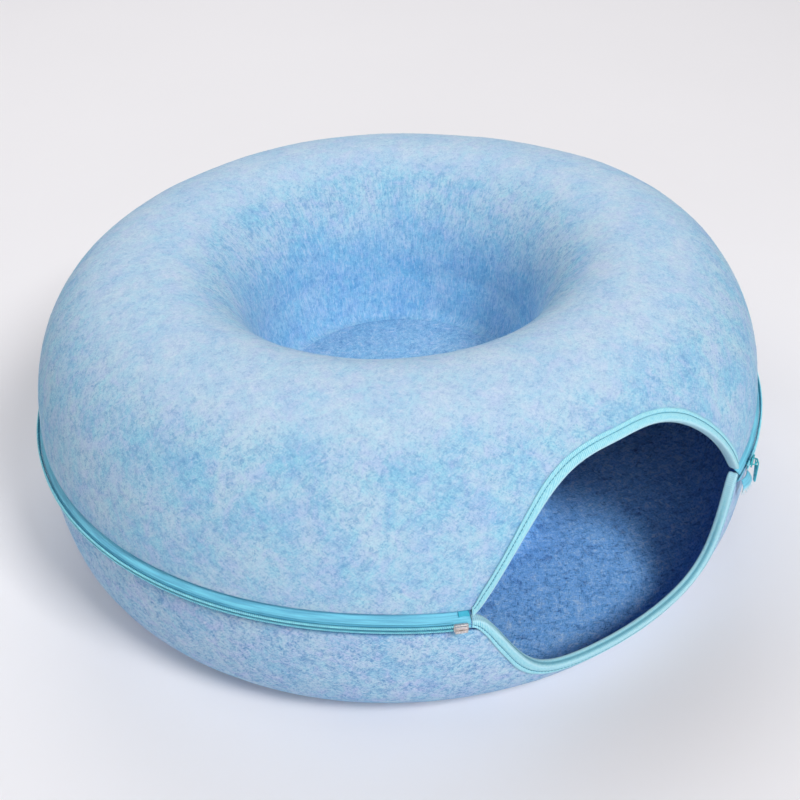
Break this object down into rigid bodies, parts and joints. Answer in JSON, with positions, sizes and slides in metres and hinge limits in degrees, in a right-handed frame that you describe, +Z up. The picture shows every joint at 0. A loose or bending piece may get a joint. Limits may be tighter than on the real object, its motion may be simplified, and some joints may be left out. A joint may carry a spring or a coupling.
{
  "type": "felt cat cave",
  "caption": "Round felt cat tunnel in two halves zipped round the middle, with a deep well in its centre and a bound, lens-shaped entrance across the zip.",
  "frame": {"origin": "under the middle of the whole cave, on the surface that it stands on; the ring's own axis lies 5.6 mm towards -Y", "axes": "+Z up, -Y out through the middle of the entrance, +X to the right of someone who faces the entrance"},
  "size_m": [0.611, 0.5991, 0.2466],
  "materials": {
    "felt": "matte",
    "zip_tape": "matte",
    "zip_coil": "satin",
    "ribbon": "matte",
    "painted_zinc": "gloss",
    "bare_zinc": "satin"
  },
  "bodies": {
    "root": {"felt_top_half": "felt", "felt_bottom_half": "felt", "entrance_binding_top": "ribbon", "entrance_binding_bottom": "ribbon", "zip_tape_top": "zip_tape", "zip_tape_bottom": "zip_tape", "zip_coil_top": "zip_coil", "zip_coil_bottom": "zip_coil", "zip_slider": "painted_zinc", "zip_pull_tab": "painted_zinc", "zip_retainer_box": "bare_zinc"}
  },
  "joints": []
}
